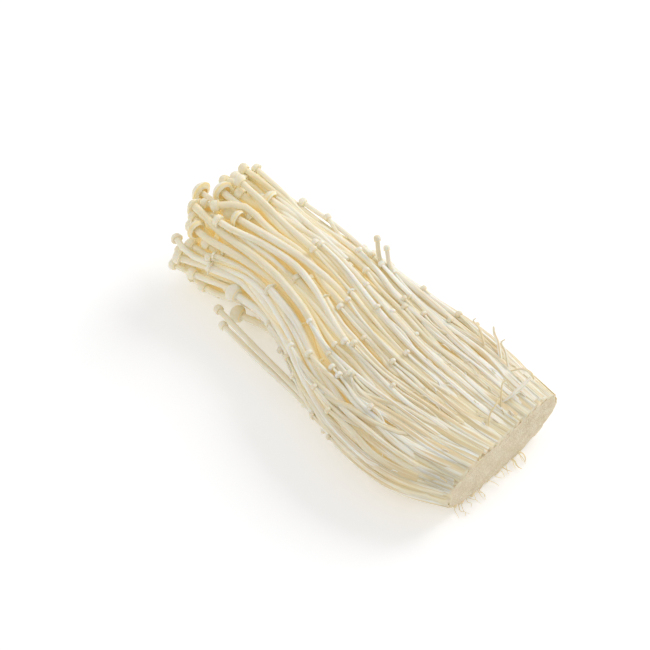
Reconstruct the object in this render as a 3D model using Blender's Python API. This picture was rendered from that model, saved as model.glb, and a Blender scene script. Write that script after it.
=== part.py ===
"""A cut bunch of enoki mushrooms lying on its side: a root block and the mushrooms that grow from it.

The cut face looks along +X, the caps lie towards -X, and the bunch rests on the plane z = 0.
Lengths are in metres. "s" is the distance from the cut face towards the caps.
"""

import math
import random

import bpy
import numpy as np
from mathutils import Vector

MM = 0.001

# Driving dimensions
LENGTH = 150 * MM  # cut face to the furthest cap
BLOCK_LENGTH = 13 * MM  # the fused root block
GAP = 0.3 * MM  # between a stem's foot and the block
FOOT_LENGTH = 2.5 * MM  # a stem stands square on the block for this far
FOOT_MARGIN = 0.6 * MM  # from the side of a foot to the edge of the block's outline
STEM_RADIUS = (1.75 * MM, 1.3 * MM)  # at the foot, below the cap
MUSHROOM_COUNT = 58
FILLED_SHARE = 0.93  # how much of the outline the stems' middle lines fill at first
STATION_STEP = 3.5 * MM  # spacing of the cross-sections where neighbours are compared
CLEARANCE = 0.75 * MM  # kept between neighbours, more than the facets need
CAP_ROOM = 0.6 * MM  # more of it around a cap
SEED = 7

# The bunch's outline. Each row, in millimetres: distance from the cut face, the side towards -Y,
# the side towards +Y, the top, and the exponent of the cross-section's upper half (2 is an ellipse,
# more is squarer). It is cut narrow, bellies out above the cut and draws together towards the caps.
OUTLINE = [
    (0, -32.0, 28.0, 22.0, 4.0),
    (15, -41.0, 30.5, 25.0, 3.4),
    (30, -43.5, 31.0, 27.5, 3.0),
    (45, -42.5, 30.5, 29.5, 2.8),
    (68, -35.0, 30.0, 32.0, 2.5),
    (85, -25.0, 29.0, 33.5, 2.4),
    (103, -18.5, 26.5, 35.0, 2.3),
    (120, -17.5, 24.0, 36.5, 2.2),
    (150, -20.0, 22.0, 37.5, 2.2),
]
LOWER_EXPONENT = 2.3  # the underside is rounder than the top

STATIONS = np.arange(0, LENGTH + STATION_STEP, STATION_STEP)


def outline(s):
    """(low side, high side, top, exponent) of the bunch's outline, s metres from the cut face."""
    at, low, high, top, exponent = (np.array(column) for column in zip(*OUTLINE))
    sides = (np.interp(s / MM, at, column) * MM for column in (low, high, top))
    return (*sides, np.interp(s / MM, at, exponent))


def section_point(share, angle, s, inset=0.0):
    """The (y, z) of a place in the cross-section at s: share 0 is its middle, 1 its edge."""
    low, high, top, upper_exponent = outline(s)
    n = upper_exponent if math.sin(angle) > 0 else LOWER_EXPONENT
    edge = (abs(math.cos(angle)) ** n + abs(math.sin(angle)) ** n) ** (-1 / n)
    y = (low + high) / 2 + share * edge * ((high - low) / 2 - inset) * math.cos(angle)
    z = top / 2 + share * edge * (top / 2 - inset) * math.sin(angle)
    return y, z


def seed_mushrooms():
    """Every mushroom's place, length, cap and first path, before the neighbours settle."""
    rng = random.Random(SEED)
    golden_angle = math.pi * (3 - math.sqrt(5))
    grown = []
    for k in range(MUSHROOM_COUNT):
        share = math.sqrt((k + 0.5) / MUSHROOM_COUNT)
        angle = k * golden_angle
        height = share * math.sin(angle)
        on_top = height > 0.62
        if on_top and rng.random() < 0.45:
            length = LENGTH * rng.uniform(0.38, 0.72)
            cap = rng.uniform(1.5, 2.2) * MM
        else:
            length = LENGTH * (1 - 0.28 * rng.random() ** 1.4)
            cap = rng.uniform(2.3, 3.6) * MM
        if k % 9 == 4:
            cap = rng.uniform(4.0, 4.6) * MM
            length = LENGTH * rng.uniform(0.93, 0.995)
        lean = rng.uniform(0, 2 * math.pi)
        wave = rng.uniform(0, 2 * math.pi)
        path = []
        for s in STATIONS:
            y, z = section_point(share * FILLED_SHARE, angle, s, inset=STEM_RADIUS[0])
            drift = 5 * MM * (s / LENGTH) ** 2.2
            sway = 1.0 * MM * math.sin(wave + s * 46) * min(1, s / 0.03)
            path.append((y + drift * math.cos(lean) + sway, z + drift * math.sin(lean) * 0.6))
        if height > 0.35:
            layer = "top"
        elif height < -0.35:
            layer = "bottom"
        else:
            layer = "middle"
        grown.append({"layer": layer, "length": length, "cap": cap, "path": path})
    return grown


def stem_radius(s):
    """The stem's radius, s metres from the cut face: it thins towards its cap."""
    share = min(1, max(0, s / LENGTH))
    return STEM_RADIUS[0] + (STEM_RADIUS[1] - STEM_RADIUS[0]) * share


def reach_of(mushroom):
    """The room that a mushroom needs around its path at each station, 0 past its tip."""
    reach = []
    for s in STATIONS:
        cap_zone = mushroom["length"] - mushroom["cap"] * 1.5 - STATION_STEP
        if s > mushroom["length"] + STATION_STEP:
            reach.append(0.0)
        elif s > cap_zone:
            reach.append(mushroom["cap"] + CAP_ROOM)
        else:
            reach.append(stem_radius(s))
    return reach


def hold_feet(paths):
    """Keeps the feet on the block's face: beside the block a path stays inside the outline."""
    for column, s in enumerate(STATIONS):
        if s > BLOCK_LENGTH + 2 * STATION_STEP:
            return
        low, high, top, upper_exponent = outline(s)
        inset = STEM_RADIUS[0] + FOOT_MARGIN
        across = (paths[:, column, 0] - (low + high) / 2) / ((high - low) / 2 - inset)
        up = (paths[:, column, 1] - top / 2) / (top / 2 - inset)
        n = np.where(up > 0, upper_exponent, LOWER_EXPONENT)
        share = (np.abs(across) ** n + np.abs(up) ** n) ** (1 / n)
        outside = np.maximum(share, 1)
        paths[:, column, 0] = (low + high) / 2 + across / outside * ((high - low) / 2 - inset)
        paths[:, column, 1] = top / 2 + up / outside * (top / 2 - inset)


def settle(paths, reach, rounds=420):
    """Pushes the neighbours apart at every station until each clears the next, and keeps the paths smooth."""
    first = paths.copy()
    alive = reach > 0
    both = alive[:, None] & alive[None]
    need = np.where(both, reach[:, None] + reach[None] + CLEARANCE, 0)
    need[np.arange(len(paths)), np.arange(len(paths))] = 0
    for turn in range(rounds):
        away = paths[:, None] - paths[None]
        distance = np.maximum(np.linalg.norm(away, axis=-1), 1e-6)
        overlap = np.maximum(need - distance, 0)
        paths = paths + 0.35 * (away / distance[..., None] * overlap[..., None]).sum(axis=1)
        moved = paths - first
        bend = moved[:, :-2] + moved[:, 2:] - 2 * moved[:, 1:-1]
        if turn < rounds - 12:
            paths[:, 1:-1] += 0.22 * bend
        hold_feet(paths)
        paths[..., 1] = np.maximum(paths[..., 1], reach)
    return paths


def grow():
    """The settled mushrooms: each gets its path as an array of (y, z), one row for each station."""
    grown = seed_mushrooms()
    paths = np.array([m["path"] for m in grown])
    reach = np.array([reach_of(m) for m in grown])
    for mushroom, path in zip(grown, settle(paths, reach)):
        mushroom["path"] = path
    return grown


def point_on(path, s):
    """The point of a path s metres from the cut face. The cut face stands at +X."""
    along = max(s, BLOCK_LENGTH + GAP + FOOT_LENGTH)
    y = np.interp(along, STATIONS, path[:, 0])
    z = np.interp(along, STATIONS, path[:, 1])
    return Vector((LENGTH / 2 - s, float(y), float(z)))


def mushroom_profile(mushroom):
    """(s, radius) from the foot to the top of the cap: a long stem, then a domed cap."""
    foot = BLOCK_LENGTH + GAP
    cap = mushroom["cap"]
    rim = mushroom["length"] - cap * 1.25
    stem_parts = max(4, round((rim - foot) / (17 * MM)))
    profile = [(foot, stem_radius(foot))]
    for i in range(stem_parts + 1):
        s = foot + FOOT_LENGTH + (rim - foot - FOOT_LENGTH) * i / stem_parts
        profile.append((s, stem_radius(s)))
    profile.append((rim + 0.12 * cap, cap * 0.93))
    for turn in (20, 48, 72):
        a = math.radians(turn)
        profile.append((mushroom["length"] - cap * (1 - math.sin(a)), cap * math.cos(a)))
    return profile


def make_material(name, color, roughness):
    material = bpy.data.materials.new(name)
    material.use_nodes = True
    shader = material.node_tree.nodes["Principled BSDF"]
    shader.inputs["Base Color"].default_value = (*color, 1)
    shader.inputs["Roughness"].default_value = roughness
    shader.inputs["Metallic"].default_value = 0
    return material


def add_mushroom(name, mushroom, material):
    """One mushroom as a curve along its path, whose radius swells into the cap."""
    profile = mushroom_profile(mushroom)
    curve = bpy.data.curves.new(name, "CURVE")
    curve.dimensions = "3D"
    curve.bevel_depth = 1.0
    curve.bevel_resolution = 2
    curve.use_fill_caps = True
    spline = curve.splines.new("POLY")
    spline.points.add(len(profile) - 1)
    for point, (s, radius) in zip(spline.points, profile):
        point.co = (*point_on(mushroom["path"], s), 1)
        point.radius = radius
    spline.use_smooth = True
    curve.materials.append(material)
    obj = bpy.data.objects.new(name, curve)
    bpy.context.collection.objects.link(obj)
    return obj


def add_root_block(material):
    """The fused block at the cut end: a rounded slab with a flat underside and softly scalloped sides."""
    around, scallops, sunk = 48, 16, 1.2 * MM
    rings = [(0, 0.6), (1.2, 0), (6, 0.2), (12, 0.5), (13, 1.3)]  # (s, inset) in millimetres
    vertices = []
    for s_mm, inset_mm in rings:
        s = s_mm * MM
        for i in range(around):
            angle = 2 * math.pi * i / around
            scallop = 0.35 * MM * math.cos(scallops * angle)
            y, z = section_point(1.0, angle, s, inset=inset_mm * MM - scallop)
            vertices.append((LENGTH / 2 - s, y, max(z - sunk, 0.0)))
    faces = [list(range(around))]
    for ring in range(len(rings) - 1):
        for i in range(around):
            a, b = ring * around + i, ring * around + (i + 1) % around
            faces.append([a, a + around, b + around, b])
    faces.append([(len(rings) - 1) * around + i for i in reversed(range(around))])
    mesh = bpy.data.meshes.new("root_block")
    mesh.from_pydata(vertices, [], faces)
    mesh.shade_smooth()
    mesh.set_sharp_from_angle(angle=math.radians(40))
    mesh.materials.append(material)
    obj = bpy.data.objects.new("root_block", mesh)
    bpy.context.collection.objects.link(obj)
    return obj


def seat_on_floor(objects):
    """Parents the bunch to an empty, and moves it so that its box stands on z = 0, centred on the origin."""
    bpy.context.view_layer.update()
    graph = bpy.context.evaluated_depsgraph_get()
    points = []
    for obj in objects:
        shape = obj.evaluated_get(graph)
        mesh = shape.to_mesh()
        points += [shape.matrix_world @ v.co for v in mesh.vertices]
        shape.to_mesh_clear()
    low = Vector([min(p[axis] for p in points) for axis in range(3)])
    high = Vector([max(p[axis] for p in points) for axis in range(3)])
    middle = (low + high) / 2
    bunch = bpy.data.objects.new("enoki_bunch", None)
    bpy.context.collection.objects.link(bunch)
    for obj in objects:
        obj.parent = bunch
    bunch.location = (-middle.x, -middle.y, -low.z)
    print("bunch", [round(v * 1000, 2) for v in high - low], "mm, moved by", bunch.location)


def main():
    for obj in list(bpy.data.objects):
        bpy.data.objects.remove(obj)
    flesh = make_material("stem_flesh", (0.86, 0.80, 0.66), 0.45)
    root = make_material("root_flesh", (0.78, 0.69, 0.52), 0.75)
    objects = [add_root_block(root)]
    numbers = {"top": 0, "middle": 0, "bottom": 0}
    for mushroom in grow():
        layer = mushroom["layer"]
        numbers[layer] += 1
        objects.append(add_mushroom(f"{layer}_mushroom_{numbers[layer]:02d}", mushroom, flesh))
    seat_on_floor(objects)


main()
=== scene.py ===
# %% [markdown]
# # A bunch of enoki, cut and laid down
# Enoki mushrooms grow crowded together out of one root block, so they come up as long, thin, pale stems
# with small caps. This lesson builds the looks of one cut bunch around its CAD model. The frame gives the
# pieces at their real places: the root block and the fifty-eight mushrooms that lead the bunch.

# %% The frame
import math
import random

import bpy
import numpy as np
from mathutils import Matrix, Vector, noise


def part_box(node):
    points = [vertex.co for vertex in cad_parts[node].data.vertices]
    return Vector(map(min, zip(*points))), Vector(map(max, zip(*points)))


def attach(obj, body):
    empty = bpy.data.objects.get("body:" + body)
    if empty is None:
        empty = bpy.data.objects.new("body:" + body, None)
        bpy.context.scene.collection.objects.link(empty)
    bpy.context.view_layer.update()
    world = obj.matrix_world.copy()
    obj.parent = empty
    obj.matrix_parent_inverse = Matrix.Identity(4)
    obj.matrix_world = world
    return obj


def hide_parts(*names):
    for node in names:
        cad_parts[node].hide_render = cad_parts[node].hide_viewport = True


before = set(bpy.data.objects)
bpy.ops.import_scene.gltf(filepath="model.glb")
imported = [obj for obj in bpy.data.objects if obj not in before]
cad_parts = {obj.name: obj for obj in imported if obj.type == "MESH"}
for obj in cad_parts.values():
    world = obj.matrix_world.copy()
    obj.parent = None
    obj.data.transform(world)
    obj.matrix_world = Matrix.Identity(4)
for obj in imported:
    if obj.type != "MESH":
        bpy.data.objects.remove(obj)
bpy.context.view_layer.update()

MM = 0.001

# %% [markdown]
# ## The camera
# The bunch lies on a table and is seen from above its cut end, a little from one side, through a long
# lens. The camera's place is worked out from two angles and a distance, so each can be changed alone.

# %% The camera
AIM = Vector((-8.0, 0.1, 15.0)) * MM
VIEW_AZIMUTH = math.radians(43.7)
VIEW_ELEVATION = math.radians(50)
VIEW_DISTANCE = 569 * MM

backwards = Vector((
    math.sin(VIEW_AZIMUTH) * math.cos(VIEW_ELEVATION),
    -math.cos(VIEW_AZIMUTH) * math.cos(VIEW_ELEVATION),
    math.sin(VIEW_ELEVATION),
))
camera = bpy.data.objects.new("camera", bpy.data.cameras.new("camera"))
camera.data.lens = 85
camera.data.sensor_width = 36
camera.data.clip_start = 0.01
camera.location = AIM + backwards * VIEW_DISTANCE
camera.rotation_euler = (-backwards).to_track_quat("-Z", "Y").to_euler()
bpy.context.collection.objects.link(camera)
bpy.context.scene.camera = camera
print("camera at", [round(v, 3) for v in camera.location])

# %% [markdown]
# ## Shader maths
# A material is a small calculation for each point of a surface. Python's own signs are the clearest way
# to write it, so a Channel wraps one socket, and +, -, * and / on it add Math nodes.

# %% A channel
class Channel:
    """The output of a node. Arithmetic on it adds Math nodes, which work on plain numbers only."""

    def __init__(self, finish, socket):
        self.finish = finish
        self.socket = socket

    def maths(self, operation, first, second):
        return self.finish.node("ShaderNodeMath", {"operation": operation}, {0: first, 1: second})

    def __add__(self, other):
        return self.maths("ADD", self, other)

    def __radd__(self, other):
        return self.maths("ADD", other, self)

    def __sub__(self, other):
        return self.maths("SUBTRACT", self, other)

    def __rsub__(self, other):
        return self.maths("SUBTRACT", other, self)

    def __mul__(self, other):
        return self.maths("MULTIPLY", self, other)

    def __rmul__(self, other):
        return self.maths("MULTIPLY", other, self)

    def __truediv__(self, other):
        return self.maths("DIVIDE", self, other)

    def clamped(self):
        limited = self.maths("ADD", self, 0.0)
        limited.socket.node.use_clamp = True
        return limited


print("a channel can be added, subtracted, multiplied and divided")

# %% [markdown]
# A Finish is one material while it is being mixed. Its node method makes any node: first its settings, then
# the values or links of its sockets. What is the same all over goes straight on the shader.

# %% A finish
class Finish:
    """One material: a Principled shader and the nodes that feed it."""

    def __init__(self, name, **constants):
        self.material = bpy.data.materials.new(name)
        self.material.use_nodes = True
        self.tree = self.material.node_tree
        self.shader = self.tree.nodes["Principled BSDF"]
        for socket_name, value in constants.items():
            self.shader.inputs[socket_name.replace("_", " ")].default_value = value

    def plug(self, socket, value):
        if isinstance(value, Channel):
            self.tree.links.new(value.socket, socket)
        else:
            socket.default_value = value

    def node(self, kind, settings=None, inputs=None, output=0):
        made = self.tree.nodes.new(kind)
        for setting, value in (settings or {}).items():
            if setting == "stops":
                self.set_stops(made.color_ramp, value)
            else:
                setattr(made, setting, value)
        for key, value in (inputs or {}).items():
            self.plug(made.inputs[key], value)
        return Channel(self, made.outputs[output])

    def set_stops(self, ramp, stops):
        while len(ramp.elements) < len(stops):
            ramp.elements.new(1.0)
        for element, (position, value) in zip(ramp.elements, stops):
            element.position = position
            element.color = (value, value, value, 1)

    def mix(self, factor, first, second):
        """A colour between two colours: 0 is the first, 1 is the second."""
        return self.node("ShaderNodeMix", {"data_type": "RGBA"}, {0: factor, 6: first, 7: second}, output=2)

    def ramp(self, factor, *stops):
        """Bends a number: each stop is (position, value)."""
        return self.node("ShaderNodeValToRGB", {"stops": stops}, {"Fac": factor})

    def noise(self, vector, detail):
        """Soft noise from 0 to 1, with lumps about one unit of its vector across."""
        return self.node("ShaderNodeTexNoise", None, {"Vector": vector, "Scale": 1.0, "Detail": detail})

    def object_place(self):
        """The point's own place in metres, which is its place in the bunch: each piece sits at the origin."""
        return self.node("ShaderNodeTexCoord", output=3)

    def finish(self, **links):
        for socket_name, value in links.items():
            self.plug(self.shader.inputs[socket_name.replace("_", " ")], value)
        return self.material


print("shader maths ready")

# %% [markdown]
# ## The light
# Raw enoki is almost white, and it shows best in soft light from all round. One large lamp, like a window
# behind and to the right of the bunch, gives each stem a bright upper edge. A weaker one fills in the front.

# %% The light
def soft_light(name, place, size, power):
    """A square lamp at a place, in metres, that faces the middle of the bunch."""
    lamp = bpy.data.lights.new(name, "AREA")
    lamp.size = size
    lamp.energy = power
    holder = bpy.data.objects.new(name, lamp)
    holder.location = place
    holder.rotation_euler = (AIM - Vector(place)).to_track_quat("-Z", "Y").to_euler()
    bpy.context.collection.objects.link(holder)


soft_light("window", (0.12, 0.85, 0.60), 0.6, 5.4)
soft_light("fill", (-0.30, -0.70, 0.80), 0.8, 1.6)

sky = bpy.data.worlds.new("soft_sky")
sky.use_nodes = True
sky.node_tree.nodes["Background"].inputs["Color"].default_value = (1.0, 1.0, 1.0, 1)
sky.node_tree.nodes["Background"].inputs["Strength"].default_value = 0.60
bpy.context.scene.world = sky
bpy.context.scene.view_settings.view_transform = "Standard"
print("sky and", len(bpy.data.lights), "lamps")

# %% [markdown]
# ## The floor
# The bunch lies on a sheet of white paper. Paper that only reflects would turn grey in this light, so a
# little light of its own keeps the sheet white and its shadows pale.

# %% The floor
paper = Finish("white_sheet", Roughness=0.9, Emission_Color=(1.0, 1.0, 1.0, 1), Emission_Strength=0.20)
paper.shader.inputs["Specular IOR Level"].default_value = 0.1
mottle = paper.noise(paper.object_place(), detail=2.0)
sheet_white = paper.mix(mottle, (0.93, 0.93, 0.94, 1), (0.96, 0.96, 0.96, 1))
bpy.ops.object.select_all(action="DESELECT")
bpy.ops.mesh.primitive_plane_add(size=6)
floor = bpy.context.object
floor.name = "floor"
floor.data.materials.append(paper.finish(Base_Color=sheet_white))
print("floor:", round(floor.dimensions.x), "m wide")

# %% [markdown]
# ## How the bunch grows
# The bunch is cut narrow, bellies out above the cut and draws together towards the caps. Its outline is
# a table of cross-sections, the same as the CAD model's, because the stems between have to fit inside it
# too. "s" is the distance from the cut face.

# %% The outline
LENGTH = 150 * MM
BLOCK_LENGTH = 13 * MM
STATION_STEP = 3.5 * MM
STATIONS = np.arange(0, LENGTH + STATION_STEP, STATION_STEP)
OUTLINE = [
    # s, the side towards -Y, the side towards +Y, the top, in mm, and the upper half's exponent: 2 is an
    # ellipse, more is squarer
    (0, -32.0, 28.0, 22.0, 4.0),
    (15, -41.0, 30.5, 25.0, 3.4),
    (30, -43.5, 31.0, 27.5, 3.0),
    (45, -42.5, 30.5, 29.5, 2.8),
    (68, -35.0, 30.0, 32.0, 2.5),
    (85, -25.0, 29.0, 33.5, 2.4),
    (103, -18.5, 26.5, 35.0, 2.3),
    (120, -17.5, 24.0, 36.5, 2.2),
    (150, -20.0, 22.0, 37.5, 2.2),
]
LOWER_EXPONENT = 2.3


def outline(s):
    """(low side, high side, top, exponent) of the bunch's outline, s metres from the cut face."""
    at, low, high, top, exponent = (np.array(column) for column in zip(*OUTLINE))
    sides = (np.interp(s / MM, at, column) * MM for column in (low, high, top))
    return (*sides, np.interp(s / MM, at, exponent))


def section_point(share, angle, s, inset=0.0):
    """The (y, z) of a place in the cross-section at s: share 0 is its middle, 1 its edge."""
    low, high, top, upper_exponent = outline(s)
    n = upper_exponent if math.sin(angle) > 0 else LOWER_EXPONENT
    edge = (abs(math.cos(angle)) ** n + abs(math.sin(angle)) ** n) ** (-1 / n)
    y = (low + high) / 2 + share * edge * ((high - low) / 2 - inset) * math.cos(angle)
    z = top / 2 + share * edge * (top / 2 - inset) * math.sin(angle)
    return y, z


print("the section at 30 mm is", [round(float(v) / MM, 1) for v in outline(30 * MM)[:3]], "mm")

# %% [markdown]
# ### Settling
# Stems that grow in a crowd push each other aside. That could be done with a physics simulation, but a few
# lines do it: at every cross-section, or station, each path moves away from the ones that are too near. In
# between, its bends are smoothed, and near the block it is brought back inside the outline.

# %% Settling
PUSH = 0.35
SMOOTHING = 0.22
ROUNDS_WITHOUT_SMOOTHING = 12


def keep_inside(paths, last_s, inset):
    """Brings paths back inside the outline at every station up to last_s."""
    for column, s in enumerate(STATIONS):
        if s > last_s:
            return
        low, high, top, upper_exponent = outline(s)
        across = (paths[:, column, 0] - (low + high) / 2) / ((high - low) / 2 - inset)
        up = (paths[:, column, 1] - top / 2) / (top / 2 - inset)
        n = np.where(up > 0, upper_exponent, LOWER_EXPONENT)
        outside = np.maximum((np.abs(across) ** n + np.abs(up) ** n) ** (1 / n), 1)
        paths[:, column, 0] = (low + high) / 2 + across / outside * ((high - low) / 2 - inset)
        paths[:, column, 1] = top / 2 + up / outside * (top / 2 - inset)


def settle(paths, reach, free, clearance, rounds, last_s, inset):
    """Pushes free neighbours apart at every station, keeps their paths smooth and inside the outline."""
    first = paths.copy()
    alive = reach > 0
    both = alive[:, None] & alive[None]
    need = np.where(both, reach[:, None] + reach[None] + clearance, 0)
    need[np.arange(len(paths)), np.arange(len(paths))] = 0
    for turn in range(rounds):
        away = paths[free, None] - paths[None]
        distance = np.maximum(np.linalg.norm(away, axis=-1), 1e-6)
        overlap = np.maximum(need[free] - distance, 0)
        moving = paths[free] + PUSH * (away / distance[..., None] * overlap[..., None]).sum(axis=1)
        moved = moving - first[free]
        bend = moved[:, :-2] + moved[:, 2:] - 2 * moved[:, 1:-1]
        if turn < rounds - ROUNDS_WITHOUT_SMOOTHING:
            moving[:, 1:-1] += SMOOTHING * bend
        keep_inside(moving, last_s, inset)
        moving[..., 1] = np.maximum(moving[..., 1], reach[free])
        paths[free] = moving
    return paths


print(len(STATIONS), "stations to settle at")

# %% [markdown]
# ### The leading mushrooms
# The leading mushrooms are sown in a sunflower spiral, which fills any outline evenly, and then they
# settle. The seed, the order of the draws and the numbers are the CAD model's own, so the paths are too.

# %% The leading mushrooms
LEAD_COUNT = 58
STEM_RADIUS = (1.75 * MM, 1.3 * MM)
FOOT_MARGIN = 0.6 * MM
FILLED_SHARE = 0.93
CLEARANCE = 0.75 * MM
CAP_ROOM = 0.6 * MM
GOLDEN_ANGLE = math.pi * (3 - math.sqrt(5))


def taper(foot_radius, neck_radius, length):
    """A function that gives a stem's radius at s."""
    def radius(s):
        return foot_radius + (neck_radius - foot_radius) * min(1, max(0, s / length))
    return radius


def sown_path(share, angle, turn, inset, lean, drift_size, drift_power, wave, sway_size, sway_rate):
    """A path before it settles: it drifts off one way, and sways from side to side on its way."""
    path = []
    for s in STATIONS:
        y, z = section_point(share, angle + turn * (s / LENGTH), s, inset)
        drift = drift_size * (s / LENGTH) ** drift_power
        sway = sway_size * math.sin(wave + s * sway_rate) * min(1, s / 0.03)
        path.append((y + drift * math.cos(lean) + sway, z + drift * math.sin(lean) * 0.6))
    return path


def sow_leads():
    """The leading mushrooms before they settle."""
    rng = random.Random(7)
    sown = []
    for k in range(LEAD_COUNT):
        share = math.sqrt((k + 0.5) / LEAD_COUNT)
        angle = k * GOLDEN_ANGLE
        height = share * math.sin(angle)
        if height > 0.62 and rng.random() < 0.45:
            length = LENGTH * rng.uniform(0.38, 0.72)
            cap = rng.uniform(1.5, 2.2) * MM
        else:
            length = LENGTH * (1 - 0.28 * rng.random() ** 1.4)
            cap = rng.uniform(2.3, 3.6) * MM
        if k % 9 == 4:
            cap = rng.uniform(4.0, 4.6) * MM
            length = LENGTH * rng.uniform(0.93, 0.995)
        lean = rng.uniform(0, 2 * math.pi)
        wave = rng.uniform(0, 2 * math.pi)
        path = sown_path(share * FILLED_SHARE, angle, 0.0, STEM_RADIUS[0],
                         lean, 5 * MM, 2.2, wave, 1.0 * MM, 46)
        layer = "top" if height > 0.35 else "bottom" if height < -0.35 else "middle"
        sown.append({"layer": layer, "length": length, "cap": cap, "path": path,
                     "radius": taper(*STEM_RADIUS, LENGTH), "cap_room": CAP_ROOM})
    return sown


def reach_of(mushroom):
    """The room that a mushroom needs around its path at each station, 0 past its tip."""
    reach = []
    for s in STATIONS:
        cap_zone = mushroom["length"] - mushroom["cap"] * 1.5 - STATION_STEP
        if s > mushroom["length"] + STATION_STEP:
            reach.append(0.0)
        elif s > cap_zone:
            reach.append(mushroom["cap"] + mushroom["cap_room"])
        else:
            reach.append(mushroom["radius"](s))
    return reach


leads = sow_leads()
lead_paths = settle(
    np.array([m["path"] for m in leads]), np.array([reach_of(m) for m in leads]),
    free=np.arange(LEAD_COUNT), clearance=CLEARANCE, rounds=420,
    last_s=BLOCK_LENGTH + 2 * STATION_STEP, inset=STEM_RADIUS[0] + FOOT_MARGIN)
numbers = {"top": 0, "middle": 0, "bottom": 0}
for mushroom in leads:
    numbers[mushroom["layer"]] += 1
    mushroom["node"] = f"{mushroom['layer']}_mushroom_{numbers[mushroom['layer']]:02d}"
print("leading mushrooms:", numbers)

# %% [markdown]
# ### Checking against the frame
# The CAD model moved the whole bunch a little, to centre it. A stem's foot is a flat disc, so the middle
# of its vertices is a point of its path: comparing the two gives the shift, and how well the rule agrees.

# %% Checking against the frame
FOOT_GAP = 0.3 * MM
FOOT_LENGTH = 2.5 * MM


def foot_of(node):
    """The middle of a CAD mushroom's foot: the vertices that lie nearest the cut face."""
    points = np.array([v.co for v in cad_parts[node].data.vertices])
    return points[points[:, 0] > points[:, 0].max() - 0.05 * MM].mean(axis=0)


def at_station(path, s):
    return np.array([np.interp(s, STATIONS, path[:, 0]), np.interp(s, STATIONS, path[:, 1])])


feet = np.array([foot_of(m["node"]) for m in leads])
expected = np.array([at_station(path, BLOCK_LENGTH + FOOT_GAP + FOOT_LENGTH) for path in lead_paths])
SHIFT_Y, SHIFT_Z = (feet[:, 1:] - expected).mean(axis=0)
CUT_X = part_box("root_block")[1].x
worst = np.abs(feet[:, 1:] - expected - (SHIFT_Y, SHIFT_Z)).max()
print(f"cut face at x = {CUT_X / MM:.2f} mm, shift {SHIFT_Y / MM:.2f}, {SHIFT_Z / MM:.2f} mm,"
      f" worst difference {worst / MM:.4f} mm")

# %% [markdown]
# ## The stems between
# A real bunch of this size has a few hundred mushrooms. Thinner ones are sown in a second spiral, and
# settle with the leading ones held still, pressed closer than those: flesh touches flesh. Each one
# leans a little its own way, so that stems cross here and there, as grown ones do.

# %% The stems between
FILL_COUNT = 190


def sow_fill():
    """The thinner mushrooms before they settle. One in five stays short."""
    rng = random.Random(23)
    sown = []
    for k in range(FILL_COUNT):
        share = math.sqrt((k + 0.5) / FILL_COUNT)
        angle = k * GOLDEN_ANGLE + 1.1
        length = LENGTH * (1 - 0.17 * rng.random() ** 1.4)
        if rng.random() < 0.2:
            length = LENGTH * rng.uniform(0.5, 0.8)
        foot_radius = rng.uniform(1.05, 1.75) * MM
        neck_radius = foot_radius * rng.uniform(0.78, 1.0)
        cap = neck_radius * (rng.uniform(1.6, 2.1) if length > 0.9 * LENGTH else rng.uniform(1.25, 1.5))
        lean = rng.uniform(0, 2 * math.pi)
        reach_out = rng.uniform(2, 9) * MM
        turn = rng.uniform(-0.22, 0.22)
        wave = rng.uniform(0, 2 * math.pi)
        path = sown_path(share * 0.97, angle, turn, foot_radius, lean, reach_out, 2, wave, 1.1 * MM, 52)
        sown.append({"length": length, "cap": cap, "path": path, "cap_room": 0.0,
                     "radius": taper(foot_radius, neck_radius, length), "height": share * math.sin(angle)})
    return sown


fills = sow_fill()
everyone = leads + fills
all_paths = settle(
    np.concatenate([lead_paths, np.array([m["path"] for m in fills])]),
    np.array([reach_of(m) for m in everyone]),
    free=np.arange(LEAD_COUNT, len(everyone)), clearance=-0.25 * MM, rounds=140,
    last_s=LENGTH * 0.8, inset=0.9 * MM)
for mushroom, path in zip(everyone, all_paths):
    mushroom["path"] = path
print(len(everyone), "mushrooms settled")

# %% [markdown]
# ## Round the outside
# More stems will lie on the outside of the bunch. A place there is given by s and by a direction from the
# middle of the cross-section, so three small helpers are needed: where the middle is, how far the outline
# is from it, and which way is straight out of the bunch's side.

# %% Round the outside
def middle_of(s):
    low, high, top, _ = outline(s)
    return np.stack([(low + high) / 2, top / 2], axis=-1)


def outline_radius(s, direction, inset=0.0):
    """The distance from the middle of the section at s to its outline, in a direction."""
    low, high, top, upper_exponent = outline(s)
    n = np.where(np.sin(direction) > 0, upper_exponent, LOWER_EXPONENT)
    across = np.abs(np.cos(direction)) / ((high - low) / 2 - inset)
    up = np.abs(np.sin(direction)) / (top / 2 - inset)
    return (across ** n + up ** n) ** (-1 / n)


def outward_normal(y, z, s):
    """The direction straight out of the outline's side, at places y, z from the middle of the section."""
    low, high, top, upper_exponent = outline(s)
    n = np.where(z > 0, upper_exponent, LOWER_EXPONENT)
    half_width, half_height = (high - low) / 2, top / 2
    across = np.sign(y) * np.abs(y / half_width) ** (n - 1) / half_width
    up = np.sign(z) * np.abs(z / half_height) ** (n - 1) / half_height
    size = np.maximum(np.hypot(across, up), 1e-9)
    return across / size, up / size


print("at 60 mm the outline is", round(float(outline_radius(0.06, 0.0)) / MM, 1), "mm from the middle")

# %% [markdown]
# ## The skin of the bunch
# The settled stems don't fill the outline exactly, so the bunch is measured like a tree's girth: from the
# middle of each section, how far out does the furthest stem reach in each direction? Near the cut the
# root block's outline takes over. The same measure tells how deep any point is buried.

# %% The skin of the bunch
DIRECTIONS = np.radians(np.arange(0, 360, 2.5))


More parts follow.
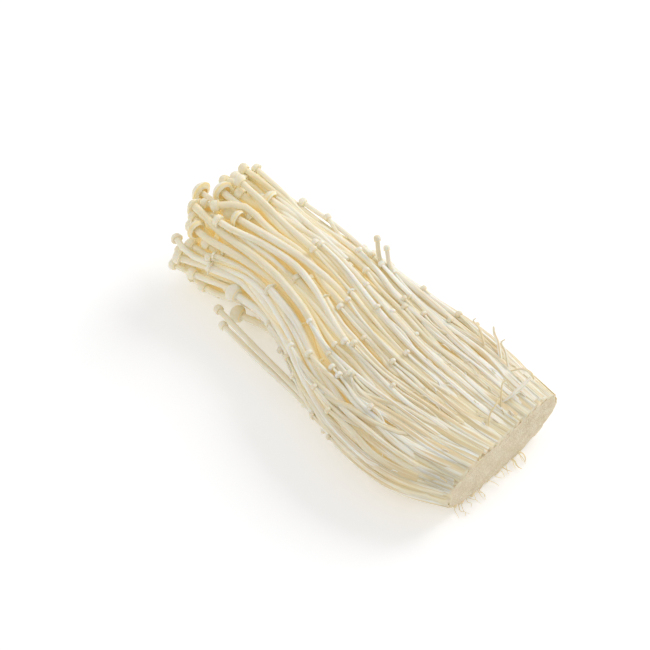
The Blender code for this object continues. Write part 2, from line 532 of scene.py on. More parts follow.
def measure_skin():
    """The bunch's outer radius, one row for each station and one column for each direction."""
    skin = np.zeros((len(STATIONS), len(DIRECTIONS)))
    ray = np.stack([np.cos(DIRECTIONS), np.sin(DIRECTIONS)], axis=-1)
    for row, s in enumerate(STATIONS):
        for mushroom in everyone:
            if s > mushroom["length"]:
                continue
            offset = mushroom["path"][row] - middle_of(s)
            radius = mushroom["radius"](s)
            beside = offset[0] * ray[:, 1] - offset[1] * ray[:, 0]
            ahead = ray @ offset
            chord = np.sqrt(np.maximum(radius ** 2 - beside ** 2, 0))
            skin[row] = np.maximum(skin[row], np.where(np.abs(beside) < radius, ahead + chord, 0))
        near_cut = min(1, max(0, (40 * MM - s) / (22 * MM)))
        at_cut = outline_radius(s, DIRECTIONS, inset=1.0 * MM)
        skin[row] += near_cut * (at_cut - skin[row])
    return skin


def smoothed(skin):
    """The skin with its dents between neighbouring stems filled in."""
    wrapped = np.concatenate([skin[:, -3:], skin, skin[:, :3]], axis=1)
    around = sum(wrapped[:, i:i + skin.shape[1]] for i in range(7)) / 7
    padded = np.concatenate([around[:1], around, around[-1:]])
    return (padded[:-2] + 2 * padded[1:-1] + padded[2:]) / 4


skin = smoothed(measure_skin())


def skin_radius(s, direction):
    """The skin's radius at any s and direction, between the measured ones."""
    row = np.clip(s / STATION_STEP, 0, len(STATIONS) - 1.001)
    column = (direction % (2 * math.pi)) / (DIRECTIONS[1] - DIRECTIONS[0])
    r0, c0 = np.floor(row).astype(int), np.floor(column).astype(int) % len(DIRECTIONS)
    past_row, past_column = row - r0, column - np.floor(column)
    c1 = (c0 + 1) % len(DIRECTIONS)
    near = skin[r0, c0] * (1 - past_column) + skin[r0, c1] * past_column
    far = skin[r0 + 1, c0] * (1 - past_column) + skin[r0 + 1, c1] * past_column
    return near * (1 - past_row) + far * past_row


print("skin at 60 mm, up:", round(float(skin_radius(0.06, math.pi / 2)) / MM, 1), "mm")

# %% [markdown]
# ## The master mushrooms
# Every mushroom has the same parts: a round stem, and a cap that starts as a bead and opens as it grows.
# Modelling hundreds by hand would be absurd, so a few masters are modelled upright, one for each kind
# of cap, and the rest are copies of them. The stem is a disc that is extruded upwards; the cap goes on
# from its top face, ring by ring, and closes in a point.

# %% Modelling a master
MASTER_STEM = 1.5 * MM
MASTER_NECK = 100 * MM
MASTER_CAP = 3.5 * MM


def nothing_selected():
    if bpy.context.object and bpy.context.object.mode != "OBJECT":
        bpy.ops.object.mode_set(mode="OBJECT")
    bpy.ops.object.select_all(action="DESELECT")


def raise_ring(up, widen):
    """Extrudes the selected face up along the axis and then widens or narrows it about the axis."""
    bpy.ops.mesh.extrude_region_move(TRANSFORM_OT_translate={"value": (0, 0, up)})
    bpy.ops.transform.resize(value=(widen, widen, 1), center_override=(0, 0, 0))


def close_shape():
    """Draws the selected face together to a point, turns all faces outwards and leaves edit mode."""
    bpy.ops.mesh.merge(type="CENTER")
    bpy.ops.mesh.select_all(action="SELECT")
    bpy.ops.mesh.normals_make_consistent(inside=False)
    nothing_selected()


def start_disc(name, sides, radius):
    """A filled circle, selected in edit mode, to extrude from."""
    nothing_selected()
    bpy.ops.mesh.primitive_circle_add(vertices=sides, radius=radius, fill_type="NGON")
    disc = bpy.context.object
    disc.name = name
    bpy.ops.object.mode_set(mode="EDIT")
    bpy.ops.mesh.select_all(action="SELECT")
    return disc


def model_mushroom(name, sides, stem_parts, cap_profile):
    """cap_profile: (radius, height) of each ring, both as shares of the cap's radius, from the neck up."""
    master = start_disc(name, sides, MASTER_STEM)
    for part in range(stem_parts):
        raise_ring(MASTER_NECK / stem_parts, 1.0)
    radius, height = MASTER_STEM, 0.0
    for ring_radius, ring_height in cap_profile:
        raise_ring((ring_height - height) * MASTER_CAP, ring_radius * MASTER_CAP / radius)
        radius, height = ring_radius * MASTER_CAP, ring_height
    close_shape()
    return master


print("a master is", (MASTER_NECK + MASTER_CAP) / MM, "mm tall")

# %% [markdown]
# A bead is a ball with its underside cut off by the neck; a button has begun to flatten. An open cap has
# a hollow under it and a rolled rim, and a dented one has sunk in the middle. The outermost stems and
# the torn ones are seen small and by the hundred, so their masters have fewer faces.

# %% The kinds of cap
def ball(first_turn, middle, height, rings):
    """The skin of a cap from first_turn degrees below (-) or above its widest place up to the top."""
    profile = []
    for i in range(rings):
        turn = math.radians(first_turn + (82 - first_turn) * i / (rings - 1))
        profile.append((math.cos(turn), middle + height * math.sin(turn)))
    return profile


HOLLOW = [(0.46, 0.42), (0.66, 0.34), (0.82, 0.10), (0.90, -0.10), (0.97, -0.12)]
CAPS = {
    "bead": ball(-48, 0.62, 0.86, 9),
    "button": [(0.66, -0.06)] + ball(-28, 0.34, 0.74, 8),
    "open": HOLLOW + ball(4, 0.05, 0.84, 7),
    "dented": [(0.60, -0.02), (0.86, 0.00)] + ball(-8, 0.24, 0.56, 6) + [(0.10, 0.70)],
}
masters = {kind: model_mushroom(f"master_{kind}", 12, 26, profile) for kind, profile in CAPS.items()}
masters["pin"] = model_mushroom("master_pin", 8, 14, ball(-46, 0.62, 0.86, 6))
masters["torn"] = model_mushroom("master_torn", 8, 14, [(0.34, 0.06), (0.20, 0.12)])
for kind, master in masters.items():
    print(kind, "master:", len(master.data.polygons), "faces")

# %% [markdown]
# ## Laying a copy along its path
# A Curve modifier could bend a copy, but it would squash the caps of short mushrooms and keep every stem
# the same thickness. Moving the copy's vertices in code does both jobs: each ring of the stem goes
# to its place along the path and takes the radius it has there, and the cap keeps its own size. For
# that, a path needs three directions at every point: along it, across it and outwards.

# %% Directions along a path
def frames_along(line):
    """Unit vectors along a line of points, across it, and outwards from the middle of the bunch."""
    along = np.gradient(line, axis=0)
    along /= np.linalg.norm(along, axis=1)[:, None]
    s = np.clip(CUT_X - line[:, 0], 0, LENGTH)
    middle = middle_of(s)
    y, z = line[:, 1] - SHIFT_Y - middle[:, 0], line[:, 2] - SHIFT_Z - middle[:, 1] + 0.1 * MM
    outwards = np.stack([np.zeros(len(line)), *outward_normal(y, z, s)], axis=1)
    outwards -= along * (along * outwards).sum(axis=1)[:, None]
    outwards /= np.maximum(np.linalg.norm(outwards, axis=1), 1e-6)[:, None]
    return along, np.cross(outwards, along), outwards


def depth_at(points):
    """How far points lie under the stems that are laid on the skin, in millimetres."""
    s = CUT_X - points[:, 0]
    outer_layer = np.interp(s / MM, [85, 130], [1.6, 0.5]) * MM
    middle = middle_of(s)
    y, z = points[:, 1] - SHIFT_Y - middle[:, 0], points[:, 2] - SHIFT_Z - middle[:, 1]
    return np.clip((skin_radius(s, np.arctan2(z, y)) + outer_layer - np.hypot(y, z)) / MM, 0, 12)


print("depth 5 mm above the table in the middle:", depth_at(np.array([[0, 0, 5 * MM]])).round(1), "mm")

# %% [markdown]
# The same step writes down, as attributes, what the materials need to know at each vertex:
# - grain: where the vertex was on the straight mushroom, so that streaks follow the stem,
# - depth: how far it is buried in the bunch,
# - tone: a shade of the whole mushroom,
# - part: 0 on the stem, 1 on the cap, 0.5 under an open cap.

# %% Laying a copy
def write_attribute(mesh, name, kind, values):
    attribute = mesh.attributes.new(name, kind, "POINT")
    key = "vector" if kind == "FLOAT_VECTOR" else "value"
    attribute.data.foreach_set(key, np.ascontiguousarray(values, dtype=np.float32).ravel())


def vertex_values(mesh, key):
    values = np.zeros(len(mesh.vertices) * 3)
    mesh.vertices.foreach_get(key, values)
    return values.reshape(-1, 3)


def blend_rows(rows, steps, at):
    """Rows of numbers that are known at the steps, read at other places between them."""
    return np.stack([np.interp(at, steps, rows[:, i]) for i in range(rows.shape[1])], axis=1)


def lay_mushroom(kind, line, radii, cap, rng, flatness=None, darkest=1.0):
    """A copy of a master, laid along a line of points. It has a radius at each point, and a flatness:
    1 is round, and less than 1 is thinner outwards and wider across."""
    master = masters[kind]
    copy = bpy.data.objects.new("mushroom", master.data.copy())
    bpy.context.collection.objects.link(copy)
    mesh = copy.data
    straight = vertex_values(mesh, "co")
    spread = np.hypot(straight[:, 0], straight[:, 1])
    heading = straight[:, :2] / np.maximum(spread, 1e-9)[:, None]

    steps = np.concatenate([[0], np.cumsum(np.linalg.norm(np.diff(line, axis=0), axis=1))])
    along, across, outwards = frames_along(line)
    on_stem = straight[:, 2] <= MASTER_NECK * 1.0001
    at = np.clip(straight[:, 2] / MASTER_NECK, 0, 1) * steps[-1]
    stem_spread = np.interp(at, steps, radii) * spread / MASTER_STEM
    cap_spread = np.interp(spread, [0, MASTER_STEM, MASTER_CAP], [0, radii[-1], cap])
    wide = np.where(on_stem, stem_spread, cap_spread)
    flat = np.where(on_stem, np.interp(at, steps, np.ones(len(steps)) if flatness is None else flatness), 1)
    over = np.where(on_stem, 0, (straight[:, 2] - MASTER_NECK) * cap / MASTER_CAP)
    points = blend_rows(line, steps, at) + blend_rows(along, steps, at) * over[:, None]
    points += blend_rows(across, steps, at) * (heading[:, 0] * wide * (2 - flat))[:, None]
    points += blend_rows(outwards, steps, at) * (heading[:, 1] * wide * flat)[:, None]
    points[:, 2] = np.maximum(points[:, 2], 0.05 * MM)
    mesh.vertices.foreach_set("co", points.ravel())

    grain = np.column_stack([heading * wide[:, None], at + over]) / MM + (0, 0, rng.uniform(0, 400))
    under = (vertex_values(master.data, "normal")[:, 2] < 0.1) & ~on_stem & (kind == "open")
    write_attribute(mesh, "grain", "FLOAT_VECTOR", grain)
    write_attribute(mesh, "depth", "FLOAT", depth_at(points))
    write_attribute(mesh, "tone", "FLOAT", np.full(len(points), rng.uniform(0.0, darkest)))
    write_attribute(mesh, "part", "FLOAT", np.where(on_stem, 0.0, np.where(under, 0.5, 1.0)))
    return copy


print("masters can be laid along paths")

# %% [markdown]
# ## The flesh
# Raw enoki flesh is wet and milky: light goes a millimetre or two into it and comes out warmer, so gaps
# and undersides glow like honey. Subsurface scattering does that within one stem. First the material reads
# what the vertices know, and makes streaks that are fine across a stem and long along it.

# %% The flesh: what it knows
def stretched(finish, grain, across, along):
    """Texture coordinates on a stem: finer across it than along it."""
    return finish.node("ShaderNodeVectorMath", {"operation": "MULTIPLY"},
                       {0: grain, 1: (across, across, along)})


def attribute(finish, name, output=2):
    return finish.node("ShaderNodeAttribute", {"attribute_name": name}, output=output)


flesh = Finish("stem_flesh", Roughness=0.45, Subsurface_Weight=0.35, Subsurface_Scale=0.0012,
               Subsurface_Radius=(1.0, 0.7, 0.45), Specular_IOR_Level=0.35, Emission_Strength=1.0)
grain = attribute(flesh, "grain", output=1)
tone = attribute(flesh, "tone")
part = attribute(flesh, "part")
deep = flesh.ramp(attribute(flesh, "depth") / 12.0, (0.05, 0.0), (0.11, 0.30), (0.20, 0.65), (0.50, 1.0))
ahead = flesh.node("ShaderNodeSeparateXYZ", None, {0: flesh.object_place()}, output=0)
near_caps = ((-0.012 - ahead) / 0.055).clamped()
near_cut = ((ahead - 0.002) / 0.045).clamped()
cut_end = ((ahead - (CUT_X - 0.9 * MM)) / (0.5 * MM)).clamped()
streaks = flesh.noise(stretched(flesh, grain, 2.2, 0.10), detail=4.0)
blotches = flesh.noise(stretched(flesh, grain, 0.5, 0.16), detail=2.0)
strands = flesh.noise(stretched(flesh, grain, 1.5, 0.03), detail=3.0)
ridges = flesh.noise(stretched(flesh, grain, 3.4, 0.07), detail=3.0)
print("flesh reads its attributes:", len(flesh.tree.nodes), "nodes so far")

# %% [markdown]
# The colour is built up in layers, as a painter would: a pale ground with cream in it, straw in the
# streaks, some whole stems milkier and some darker. Then come tan streaks near the cut with painted shade
# in their furrows, a golden tint near the caps painted for light shining through the thin stems, painted
# honey shade deep down between the stems, the sawn end, and painted amber shade under the open caps.

# %% The flesh: its colour
MILK = (0.96, 0.935, 0.88, 1)
PALE = (0.90, 0.87, 0.79, 1)
CREAM = (0.86, 0.77, 0.57, 1)
STRAW = (0.83, 0.73, 0.50, 1)
HONEY_GAP_SHADE = (0.83, 0.68, 0.38, 1)
GOLDEN_LIGHT_THROUGH = (0.92, 0.81, 0.52, 1)
AMBER_UNDER_CAP_SHADE = (0.92, 0.72, 0.36, 1)
SAWN = (0.80, 0.70, 0.52, 1)
FURROW_SHADE = (0.75, 0.60, 0.36, 1)

colour = flesh.mix(flesh.ramp(streaks * 0.55 + blotches * 0.45, (0.36, 0.0), (0.60, 1.0)), CREAM, PALE)
colour = flesh.mix(flesh.ramp(streaks, (0.36, 0.55), (0.46, 0.0)), colour, STRAW)
colour = flesh.mix(flesh.ramp(tone, (0.0, 0.85), (0.45, 0.0)), colour, MILK)
colour = flesh.mix(flesh.ramp(tone, (0.5, 0.0), (1.0, 0.75)), colour, STRAW)
# Partly the tan streaks of the fused base, partly painted shade: the furrows between strands near the cut are
# coloured darker.
colour = flesh.mix(flesh.ramp(strands, (0.43, 0.95), (0.54, 0.0)) * near_cut, colour, FURROW_SHADE)
# Painted light: the stems turn golden near the caps, for light shining through the thin stems.
colour = flesh.mix((near_caps * (0.1 + blotches * 0.45)).clamped(), colour, GOLDEN_LIGHT_THROUGH)
# Painted shade: the deeper a point lies between the stems, the more honey-coloured it is painted.
colour = flesh.mix(deep, colour, HONEY_GAP_SHADE)
colour = flesh.mix(cut_end, colour, SAWN)
under_cap = flesh.ramp(part, (0.2, 0.0), (0.5, 1.0), (0.8, 0.0))
# Painted shade: the hollow under each open cap is painted amber.
colour = flesh.mix(under_cap * 0.85, colour, AMBER_UNDER_CAP_SHADE)
colour = flesh.mix(flesh.ramp(part, (0.7, 0.0), (1.0, 0.25)), colour, PALE)
print("flesh has its colour:", len(flesh.tree.nodes), "nodes so far")

# %% [markdown]
# Light also passes on from stem to stem, which is too slow to trace. A faint glow, stronger the deeper a
# point lies and nearer the caps, stands for it. Fine ridges along each stem finish the surface.

# %% The flesh: its glow and ridges
FAINT_GLOW = (0.01, 0.01, 0.0, 1)
DEEP_GLOW = (0.17, 0.14, 0.065, 1)
CAP_GLOW = (0.22, 0.18, 0.07, 1)
glow = flesh.mix(deep, FAINT_GLOW, DEEP_GLOW)
glow = flesh.mix((near_caps * (0.15 + deep * 0.4) + under_cap * 0.3).clamped(), glow, CAP_GLOW)
bump = flesh.node("ShaderNodeBump", None, {"Strength": 0.6, "Distance": 0.0004,
                                           "Height": ridges * 0.5 + strands * near_cut * 1.6})
STEM_FLESH = flesh.finish(Base_Color=colour, Normal=bump, Roughness=0.38 + blotches * 0.2,
                          Emission_Color=glow)
print("flesh mixed:", len(flesh.tree.nodes), "nodes")

# %% [markdown]
# ## Laying the leading mushrooms
# The leading mushrooms rise from the block where the CAD model has them. Their stems swell and thin a
# little on the way, and are pressed flatter near the foot. The visible stem starts inside the block, and
# its foot bends in towards the middle, so that it grows out of the block and doesn't show its cut end.

# %% Laying a grown mushroom
def line_of(mushroom, first_s, neck_s):
    """The points of a mushroom's path from first_s to its neck, in the frame."""
    steps = np.linspace(first_s, neck_s, 48)
    yz = np.array([at_station(mushroom["path"], s) for s in steps])
    for _ in range(3):
        yz[1:-1] = (yz[:-2] + 2 * yz[1:-1] + yz[2:]) / 4
    return np.column_stack([CUT_X - steps, yz[:, 0] + SHIFT_Y, yz[:, 1] + SHIFT_Z]), steps


def lay_grown(mushroom, rng):
    """Lays one of the settled mushrooms, with its thickness swelling and thinning a little."""
    foot = rng.uniform(9, 13) * MM
    neck = mushroom["length"] - mushroom["cap"] * 0.9
    line, steps = line_of(mushroom, foot, neck)
    rooted = 0.18 * np.clip(1 - (steps - foot) / (14 * MM), 0, 1)
    line[:, 1:] += rooted[:, None] * (middle_of(steps) + (SHIFT_Y, SHIFT_Z) - line[:, 1:])
    swell = 1 + 0.07 * np.sin(steps * rng.uniform(60, 130) + rng.uniform(0, 6))
    thickness = np.array([mushroom["radius"](s) for s in steps]) * swell
    near_foot = np.clip(1 - steps / (45 * MM), 0, 1)
    kind = rng.choice(["bead", "bead", "bead", "button", "button", "dented"])
    if mushroom["cap"] > 3.2 * MM and mushroom["length"] > 0.85 * LENGTH:
        kind = "open"
    return lay_mushroom(kind, line, thickness * (1 + 0.12 * near_foot), mushroom["cap"], rng,
                        1 - 0.22 * near_foot)


print("a foot starts 9 to 13 mm from the cut, inside the", round(BLOCK_LENGTH / MM), "mm block")

# %% [markdown]
# Five mushrooms at a time are joined into one piece, which stands for their five CAD nodes. One piece for
# each mushroom would do too, but fewer pieces are quicker to handle, and these never move apart.

# %% Joining pieces
def joined(name, parts):
    """One piece of the bunch, made of several laid mushrooms."""
    nothing_selected()
    for part in parts:
        part.select_set(True)
    bpy.context.view_layer.objects.active = parts[0]
    bpy.ops.object.join()
    piece = bpy.context.object
    piece.name = name
    piece.data.name = name
    piece.data.materials.clear()
    piece.data.materials.append(STEM_FLESH)
    bpy.ops.object.shade_smooth_by_angle(angle=math.radians(60))
    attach(piece, "root")
    return piece


def joined_in_groups(name, parts, group_size):
    for start in range(0, len(parts), group_size):
        joined(f"{name}_{start // group_size + 1}", parts[start:start + group_size])
    print(name, "laid:", len(parts))


LEADS_PER_PIECE = 5
rng = random.Random(5)
for layer in ("top", "middle", "bottom"):
    members = [m for m in leads if m["layer"] == layer]
    for start in range(0, len(members), LEADS_PER_PIECE):
        chosen = members[start:start + LEADS_PER_PIECE]
        name = f"{layer}_mushrooms_{start // LEADS_PER_PIECE + 1}"
        piece = joined(name, [lay_grown(m, rng) for m in chosen])
        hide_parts(*[m["node"] for m in chosen])
    print(layer, "laid:", len(members))

# %% [markdown]
# ## Laying the stems between
# The thinner stems are laid in the same way, from the top of the bunch downwards. They have no CAD
# nodes of their own: they fill gaps between the leading ones, and touch nothing that those don't.

# %% Laying the stems between
FILLS_PER_PIECE = 15
fills.sort(key=lambda m: -m["height"])
joined_in_groups("stems_between", [lay_grown(m, rng) for m in fills], FILLS_PER_PIECE)

# %% [markdown]
# ## The outer stems
# On the outside of the bunch many stems stopped growing early. At the cut they are flattened against each
# other like wide ribbons, and grown together; further on each one rounds off into a thin stem with a bead
# of a cap. Each is laid on the skin: its line keeps a small height above it, and rises or dives at its end.

# %% Laying a stem on the skin
def on_skin(s, direction, lift):
    """The place lift above the skin at s, in a direction from the middle of the bunch."""
    radius = skin_radius(s, direction)
    y, z = radius * np.cos(direction), radius * np.sin(direction)
    across, up = outward_normal(y, z, s)
    middle = middle_of(s)
    return np.stack([CUT_X - s, middle[..., 0] + y + lift * across + SHIFT_Y,
                     middle[..., 1] + z + lift * up + SHIFT_Z], axis=-1)


def lay_on_skin(kind, first_s, last_s, direction, foot, radius, cap, lift, rise, rng):
    """A mushroom laid on the skin from first_s to last_s. Its foot is a flat ribbon, foot wide each way.
    One that starts beyond the cut comes up from under the skin, and is thin there."""
    share = np.linspace(0, 1, 36)
    s = first_s + (last_s - first_s) * share
    from_below = first_s > 3 * MM
    slant = rng.uniform(-0.07, 0.07)
    wander = 0.025 * np.sin(share * rng.uniform(4, 9) + rng.uniform(0, 6))
    heading = direction + (slant * share + wander) * np.clip((s - 8 * MM) / (25 * MM), 0, 1)
    settled = np.clip(s / (30 * MM), 0, 1)
    height = lift * settled + 0.35 * MM * np.sin(share * rng.uniform(5, 11) + rng.uniform(0, 6)) * share
    if from_below:
        height -= 1.8 * MM * np.clip(1 - share / 0.16, 0, 1)
        foot *= 0.7
    line = on_skin(s, heading, height + (cap * 0.8 - lift + rise) * share ** 5)
    for _ in range(6):
        line[1:-1] = (line[:-2] + 2 * line[1:-1] + line[2:]) / 4
    ribbon_end = rng.uniform(20, 58) * MM
    ribbon = np.clip((ribbon_end - s) / (ribbon_end - 5 * MM), 0, 1) ** 1.2
    radii = radius + (foot - radius) * ribbon
    radii *= 1 + 0.05 * np.sin(share * rng.uniform(8, 20)) - 0.36 * np.clip((share - 0.55) / 0.45, 0, 1)
    if from_below:
        radii *= np.clip(0.2 + (s - first_s) / (7 * MM), 0, 1)
    return lay_mushroom(kind, line, radii, cap, rng, rng.uniform(0.8, 1.0) - 0.5 * ribbon)


print("skin point at 60 mm, up, in mm:", (on_skin(0.06, math.pi / 2, 0.0) / MM).round(1))

# %% [markdown]
# There are three layers. The first lies side by side all round and its ends dive back under the skin. The
# second is looser, thinner and shorter, and carries beads. Last come the pins: tiny late mushrooms
# that only just grew out between the others.

# %% The three outer layers
def directions_around(count, rng):
    """Directions that are spaced evenly round the section near the cut, each moved a little at random."""
    turns = np.linspace(0, 2 * math.pi, 721)
    radius = outline_radius(12 * MM, turns)
    rim = np.stack([radius * np.cos(turns), radius * np.sin(turns)], axis=1)
    girth = np.concatenate([[0], np.cumsum(np.linalg.norm(np.diff(rim, axis=0), axis=1))])
    places = (np.arange(count) + [rng.uniform(-0.22, 0.22) for _ in range(count)]) / count
    return np.interp(places % 1, girth / girth[-1], turns)


FIRST_LAYER = 66
SECOND_LAYER = 52
PINS = 44
OUTER_PER_PIECE = 25
outer = []
for direction in directions_around(FIRST_LAYER, rng):
    first_s = rng.choice([0.2, 0.3, 0.5, 0.8, 1.4]) * MM
    last_s = rng.uniform(64, 132) * MM
    radius = rng.uniform(0.9, 1.4) * MM
    outer.append(lay_on_skin("pin", first_s, last_s, direction, rng.uniform(1.0, 1.9) * MM, radius,
                             radius * 0.8, -0.4 * MM, -rng.uniform(2.5, 4.0) * MM, rng))
for direction in directions_around(SECOND_LAYER, rng):
    first_s = rng.choice([0.3, 0.6, 1.5, 2.5, 5, 9]) * MM
    last_s = first_s + rng.uniform(38, 105) * MM
    radius = rng.uniform(0.65, 1.15) * MM
    outer.append(lay_on_skin("bead", first_s, last_s, direction, rng.uniform(0.7, 1.9) * MM, radius,
                             rng.uniform(1.2, 1.65) * MM, 0.6 * MM, rng.uniform(0.0, 0.5) * MM, rng))
for direction in directions_around(PINS, rng):
    first_s = rng.uniform(12, 55) * MM
    last_s = first_s + rng.uniform(14, 40) * MM
    radius = rng.uniform(0.6, 0.85) * MM
    outer.append(lay_on_skin("bead", first_s, last_s, direction, radius, radius,
                             rng.uniform(1.1, 1.45) * MM, 0.5 * MM, rng.uniform(0.2, 1.0) * MM, rng))
joined_in_groups("outer_stems", outer, OUTER_PER_PIECE)

# %% [markdown]
# ## Stragglers
# A few mushrooms have come loose from the crowd, and two big open caps stand out past the others. Each
# is laid along a few given points, which a smooth curve joins.

# %% Stragglers
def smooth_line(points, count=30):
    """A smooth curve through a few points, in millimetres, as a line of points in metres."""
    points = np.array(points, float) * MM
    ends = np.concatenate([[2 * points[0] - points[1]], points, [2 * points[-1] - points[-2]]])
    line = []
    for at in np.linspace(0, len(points) - 1, count):
        i = min(int(at), len(points) - 2)
        t = at - i
        a, b, c, d = ends[i:i + 4]
        line.append(0.5 * (2 * b + (c - a) * t + (2 * a - 5 * b + 4 * c - d) * t ** 2
                           + (3 * b - a - 3 * c + d) * t ** 3))
    return np.array(line)


STRAGGLERS = [
    # kind, stem radius and cap radius in mm, points of the path in mm
    ("bead", 1.15, 1.9, [(44, -33, 14), (26, -31, 13), (4, -27, 12), (-20, -23.8, 12), (-43, -20.4, 12)]),
    ("bead", 1.1, 1.8, [(44, -32, 12), (26, -31, 10), (4, -27.5, 9), (-16, -25.6, 9), (-38, -23.0, 9)]),
    ("bead", 0.9, 1.9, [(14, 27.3, 22), (-8, 29.3, 26), (-28, 29.9, 29), (-46, 28.9, 31)]),
    ("bead", 0.8, 1.5, [(-18, 25.3, 27), (-28, 27.8, 29), (-34, 29.4, 31)]),
    ("pin", 0.9, 1.4, [(2, 26.3, 24), (-7, 28.8, 29), (-10, 30.3, 36)]),
    ("pin", 0.9, 1.3, [(4, 27.3, 24), (-3, 29.8, 28), (-6, 31.3, 33)]),
    ("open", 1.15, 4.8, [(-10, 6, 24), (-40, 7, 27), (-62, 7.2, 28.8), (-79.5, 6.6, 29.5)]),
    ("open", 1.1, 4.4, [(-10, -1, 22), (-40, 0, 24.5), (-60, 0.8, 25.5), (-77.5, 1.6, 26.0)]),
    ("bead", 1.2, 2.9, [(-10, -6, 20), (-35, -7, 22), (-58, -5, 21), (-75, -2.8, 20.5)]),
    ("bead", 1.3, 2.9, [(-18, 16, 32), (-44, 18, 33), (-60, 19.6, 32), (-74, 20.8, 30.5)]),
    ("bead", 1.2, 2.6, [(-14, 18, 32), (-40, 21, 33), (-58, 22.6, 32.5), (-71, 23.6, 31.5)]),
]
strays = []
for kind, radius, cap, points in STRAGGLERS:
    line = smooth_line(points)
    strays.append(lay_mushroom(kind, line, np.full(len(line), radius * MM), cap * MM, rng))
joined("stragglers", strays)
print("stragglers laid:", len(strays))

# %% [markdown]
# ## Torn fibres
# Pulling the bunch out of its block tears fine fibres off the stems. A few large ones are placed one by one,
# many small ones curl up from the top near the cut, and some hang out under it. Each is a stem with a
# torn end, only a few tenths of a millimetre thick.

# %% Torn fibres
TEARS = [
    # radius at the root, in the middle and at the end in mm, then points of the path in mm
    (0.3, 0.8, 0.35, [(66.0, 12.5, 23.5), (67.2, 16, 25.5), (67.8, 20, 26.5), (68, 24.5, 28)]),
    (0.3, 0.5, 0.25, [(60, 24, 25), (63, 26, 27), (66.5, 26.5, 27.5), (69, 25.5, 27)]),
    (0.25, 0.2, 0.15, [(67, 10, 23.5), (64.5, 13, 26.5), (62.5, 16, 27.8), (63, 18, 27.8), (65, 16.5, 27)]),
    (0.22, 0.2, 0.15, [(69, 1, 23.5), (67, 4, 25.5), (66, 8.5, 26.3), (64.5, 12, 25.5)]),
    (0.6, 0.5, 0.3, [(54, 26, 24), (49, 30, 26.5), (46, 31.5, 27.5), (44.5, 32.5, 29.5)]),
    (0.4, 0.35, 0.2, [(58, 25, 25), (54, 28, 27.5), (51, 29, 28.8), (51.5, 30.5, 29.8)]),
    (0.35, 0.3, 0.2, [(46, 26, 26), (41, 29, 28.3), (37.5, 29.5, 29.5), (38, 30.5, 30.3)]),
    (0.35, 0.25, 0.12, [(72, 9, 1.2), (76, 9.5, 1.2), (78.5, 8.5, 1.0), (80.5, 8.8, 0.8)]),
    (0.30, 0.2, 0.10, [(73, 12, 1.5), (76.5, 13.5, 2.0), (78.5, 13, 1.2), (79.5, 11.5, 0.8)]),
    (0.25, 0.2, 0.10, [(72, 5, 1.0), (76, 4.6, 0.9), (78.5, 5.6, 0.7)]),
]


def lay_fibre(line, radii, rng):
    """A torn fibre, laid along a line, with a radius at its root, its middle and its end in mm."""
    along = np.interp(np.linspace(0, 2, len(line)), [0, 1.3, 2], radii) * MM
    return lay_mushroom("torn", line, along, along[-1] * 2.2, rng, np.full(len(line), 0.7), darkest=0.3)


tears = [lay_fibre(smooth_line(points), radii, rng) for *radii, points in TEARS]
print("fibres placed by hand:", len(tears))

# %% [markdown]
# The small ones wander: each starts at a random place and takes a few random steps.

# %% Small fibres
CURLED = 60
HANGING = 16

for k in range(CURLED):
    s = rng.uniform(1.0, 36)
    direction = math.radians(rng.uniform(10, 170))
    points = [on_skin(np.array(s * MM), np.array(direction), 0.2 * MM) / MM]
    sideways = rng.choice([-1, 1]) * rng.uniform(0.1, 0.8)
    curl = rng.uniform(-1.2, 1.2)
    for step in range(4):
        away = -rng.uniform(0.4, 1.6)
        rise = 0.9 - 0.6 * step + 0.2 * curl * step
        points.append(points[-1] + (away, sideways * rng.uniform(0.4, 1.3), rise))
    thin = rng.uniform(0.1, 0.2)
    tears.append(lay_fibre(smooth_line(points), (thin, thin, 0.07), rng))
for k in range(HANGING):
    points = [np.array((74, rng.uniform(-22, 16), rng.uniform(0.8, 3.0)))]
    for step in range(3):
        points.append(points[-1] + (rng.uniform(0.9, 2.2), rng.uniform(-1.4, 1.4), -rng.uniform(0.1, 0.5)))
    tears.append(lay_fibre(smooth_line(points), (0.16, 0.12, 0.07), rng))
joined("torn_fibres", tears)
print("fibres laid:", len(tears))

# %% [markdown]
# ## The root block
# Near the cut the stems have grown into one another. The block starts as a log: a disc is extruded along
# its length, and then the end face is extruded in place and drawn in again and again, which gives it
# rings to roughen.

# %% The root block: a log
BLOCK_SIDES = 160
BLOCK_RINGS = [0.2, 0.8, 2, 4, 6.5, 9, 11.5, 14]  # mm from the cut face
FACE_RINGS = 13


def model_log():
    log = start_disc("root_block_flesh", BLOCK_SIDES, 1.0)
    for here, after in zip(BLOCK_RINGS[::-1], BLOCK_RINGS[-2::-1]):
        bpy.ops.mesh.extrude_region_move(TRANSFORM_OT_translate={"value": (0, 0, here - after)})
    for ring in range(FACE_RINGS):
        keep = (FACE_RINGS - ring - 1) / (FACE_RINGS - ring) if ring < FACE_RINGS - 1 else 0.4
        raise_ring(0.0, keep)
    close_shape()
    return log


block = model_log()
print("log:", len(block.data.polygons), "faces")

# %% [markdown]
# Then each vertex is moved from the round log to the outline of the section at its place, with grooves along
# the sides where one stem meets the next, and a rough, slightly hollow cut face. The far end is drawn
# in, under the stems that cover it.

# %% The root block: its shape
def grooves(angle):
    """Lengthwise grooves round the block: high in a groove, low on a ridge, uneven as grown."""
    value = noise.noise(Vector((math.cos(angle) * 9, math.sin(angle) * 9, 3.0)))
    fine = noise.noise(Vector((math.cos(angle) * 22, math.sin(angle) * 22, 7.0)))
    return 0.5 + 0.9 * value + 0.6 * fine


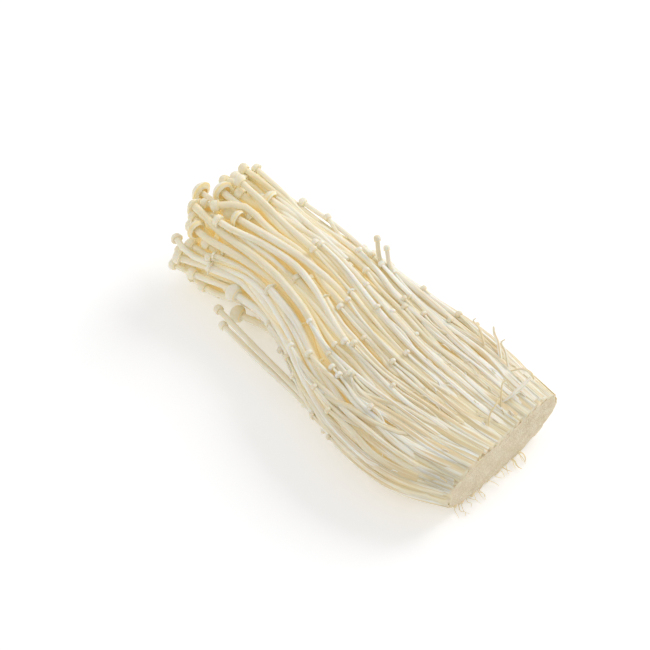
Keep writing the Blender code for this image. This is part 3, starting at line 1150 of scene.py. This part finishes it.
RIM_SHARE = 0.999
round_log = vertex_values(block.data, "co")
top_of_log = round_log[:, 2].max()
places, grains, parts = [], [], []
for x, y, along in round_log:
    angle = math.atan2(y, x)
    share = min(1.0, math.hypot(x, y))
    s = (top_of_log - along + BLOCK_RINGS[0]) * MM
    on_face = share < RIM_SHARE or along > top_of_log - 1e-6
    inset = 1.15 * MM + 0.5 * MM * grooves(angle)
    if s > 12 * MM:
        inset += 1.5 * MM
    y_here, z_here = section_point(share, angle, s, inset)
    if on_face:
        spot = Vector((y_here, z_here, 0)) / MM
        rough = 0.35 * noise.noise(spot * 0.9) + 0.2 * noise.noise(spot * 2.3) - 0.25 * (1 - share)
        s += rough * MM if share < RIM_SHARE else 0.15 * MM * grooves(angle)
    places.append((CUT_X - max(s, 0.0), y_here + SHIFT_Y, max(z_here + SHIFT_Z, 0.0)))
    grains.append((y_here / MM, z_here / MM, s / MM))
    parts.append(1.0 if on_face else 0.0)
block.data.vertices.foreach_set("co", np.array(places).ravel())
write_attribute(block.data, "grain", "FLOAT_VECTOR", np.array(grains))
write_attribute(block.data, "part", "FLOAT", np.array(parts))
print("block is", [round((max(row) - min(row)) / MM, 1) for row in zip(*places)], "mm")

# %% [markdown]
# The sides are striped lengthwise. The cut face shows the ends of hundreds of sawn stems: a Voronoi
# pattern draws their faint outlines, and fine specks give the face its crumbly look.

# %% The root block: its material
root = Finish("root_flesh", Roughness=0.7, Subsurface_Weight=0.25, Subsurface_Scale=0.0014,
              Subsurface_Radius=(1.0, 0.6, 0.3), Specular_IOR_Level=0.25)
grain = attribute(root, "grain", output=1)
on_face = attribute(root, "part")
stripes = root.noise(stretched(root, grain, 2.0, 0.08), detail=5.0)
side = root.mix(root.ramp(stripes, (0.35, 0.0), (0.65, 1.0)), (0.72, 0.58, 0.36, 1), (0.90, 0.83, 0.66, 1))
cells = root.node("ShaderNodeTexVoronoi", {"feature": "DISTANCE_TO_EDGE"},
                  {"Vector": stretched(root, grain, 1.0, 0.0), "Scale": 0.75, "Randomness": 0.9})
specks = root.noise(stretched(root, grain, 3.0, 0.0), detail=5.0)
cloud = root.noise(stretched(root, grain, 0.22, 0.0), detail=2.0)
sawn = root.mix(root.ramp(specks * 0.7 + cloud * 0.3, (0.38, 0.0), (0.62, 1.0)), (0.72, 0.59, 0.38, 1),
                (0.95, 0.87, 0.69, 1))
sawn = root.mix(root.ramp(cells, (0.0, 0.35), (0.12, 0.0)), sawn, (0.60, 0.46, 0.27, 1))
crumbs = specks * 0.6 + root.ramp(cells, (0.0, 0.0), (0.2, 1.0)) * 0.4
bump = root.node("ShaderNodeBump", None, {"Strength": 0.5, "Distance": 0.0006, "Height": crumbs})
block.data.materials.append(root.finish(Base_Color=root.mix(on_face, side, sawn), Normal=bump))

bpy.ops.object.select_all(action="DESELECT")
block.select_set(True)
bpy.context.view_layer.objects.active = block
bpy.ops.object.shade_smooth_by_angle(angle=math.radians(50))
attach(block, "root")
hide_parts("root_block")
print("root flesh mixed:", len(root.tree.nodes), "nodes")

# %% [markdown]
# ## Putting the masters away
# The masters stand at the origin and aren't part of the bunch. Every copy has its own mesh, so the
# masters can go.

# %% Putting the masters away
for master in masters.values():
    bpy.data.objects.remove(master)
